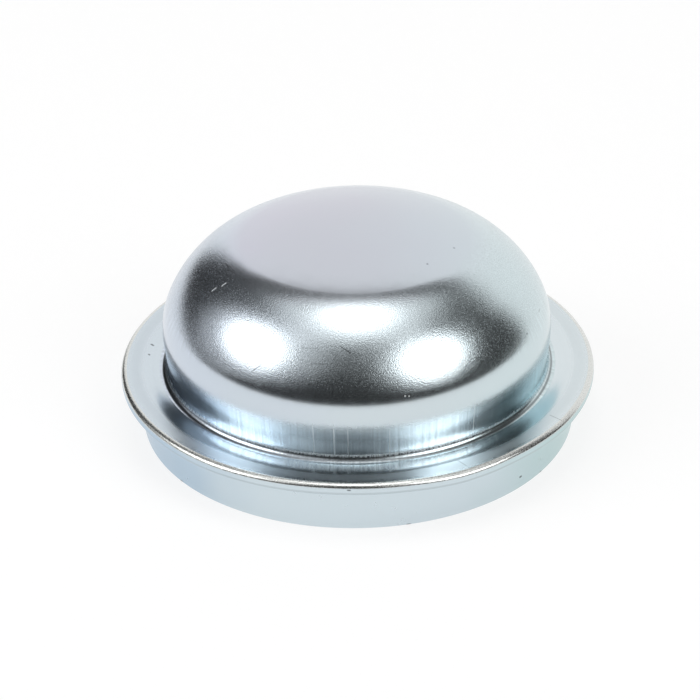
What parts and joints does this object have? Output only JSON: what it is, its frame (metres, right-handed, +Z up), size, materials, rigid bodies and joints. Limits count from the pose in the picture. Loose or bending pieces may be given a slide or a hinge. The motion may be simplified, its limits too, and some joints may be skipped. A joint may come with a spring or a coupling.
{
  "type": "hub grease cap",
  "caption": "Round pressed-steel hub grease cap with a domed crown, a folded flat flange and a plain press-fit skirt, open at the bottom.",
  "frame": {"origin": "centre of the open mouth, on the plane that the skirt's edge stands on", "axes": "+Z up the axis of the cap, from the mouth to the crown; X and Y are any two directions across it"},
  "size_m": [0.083, 0.083, 0.0367],
  "materials": {
    "zinc_plated_steel": "bright zinc plating with a clear passivate over drawn sheet steel"
  },
  "bodies": {
    "root": {"grease_cap": "zinc_plated_steel"}
  },
  "joints": []
}
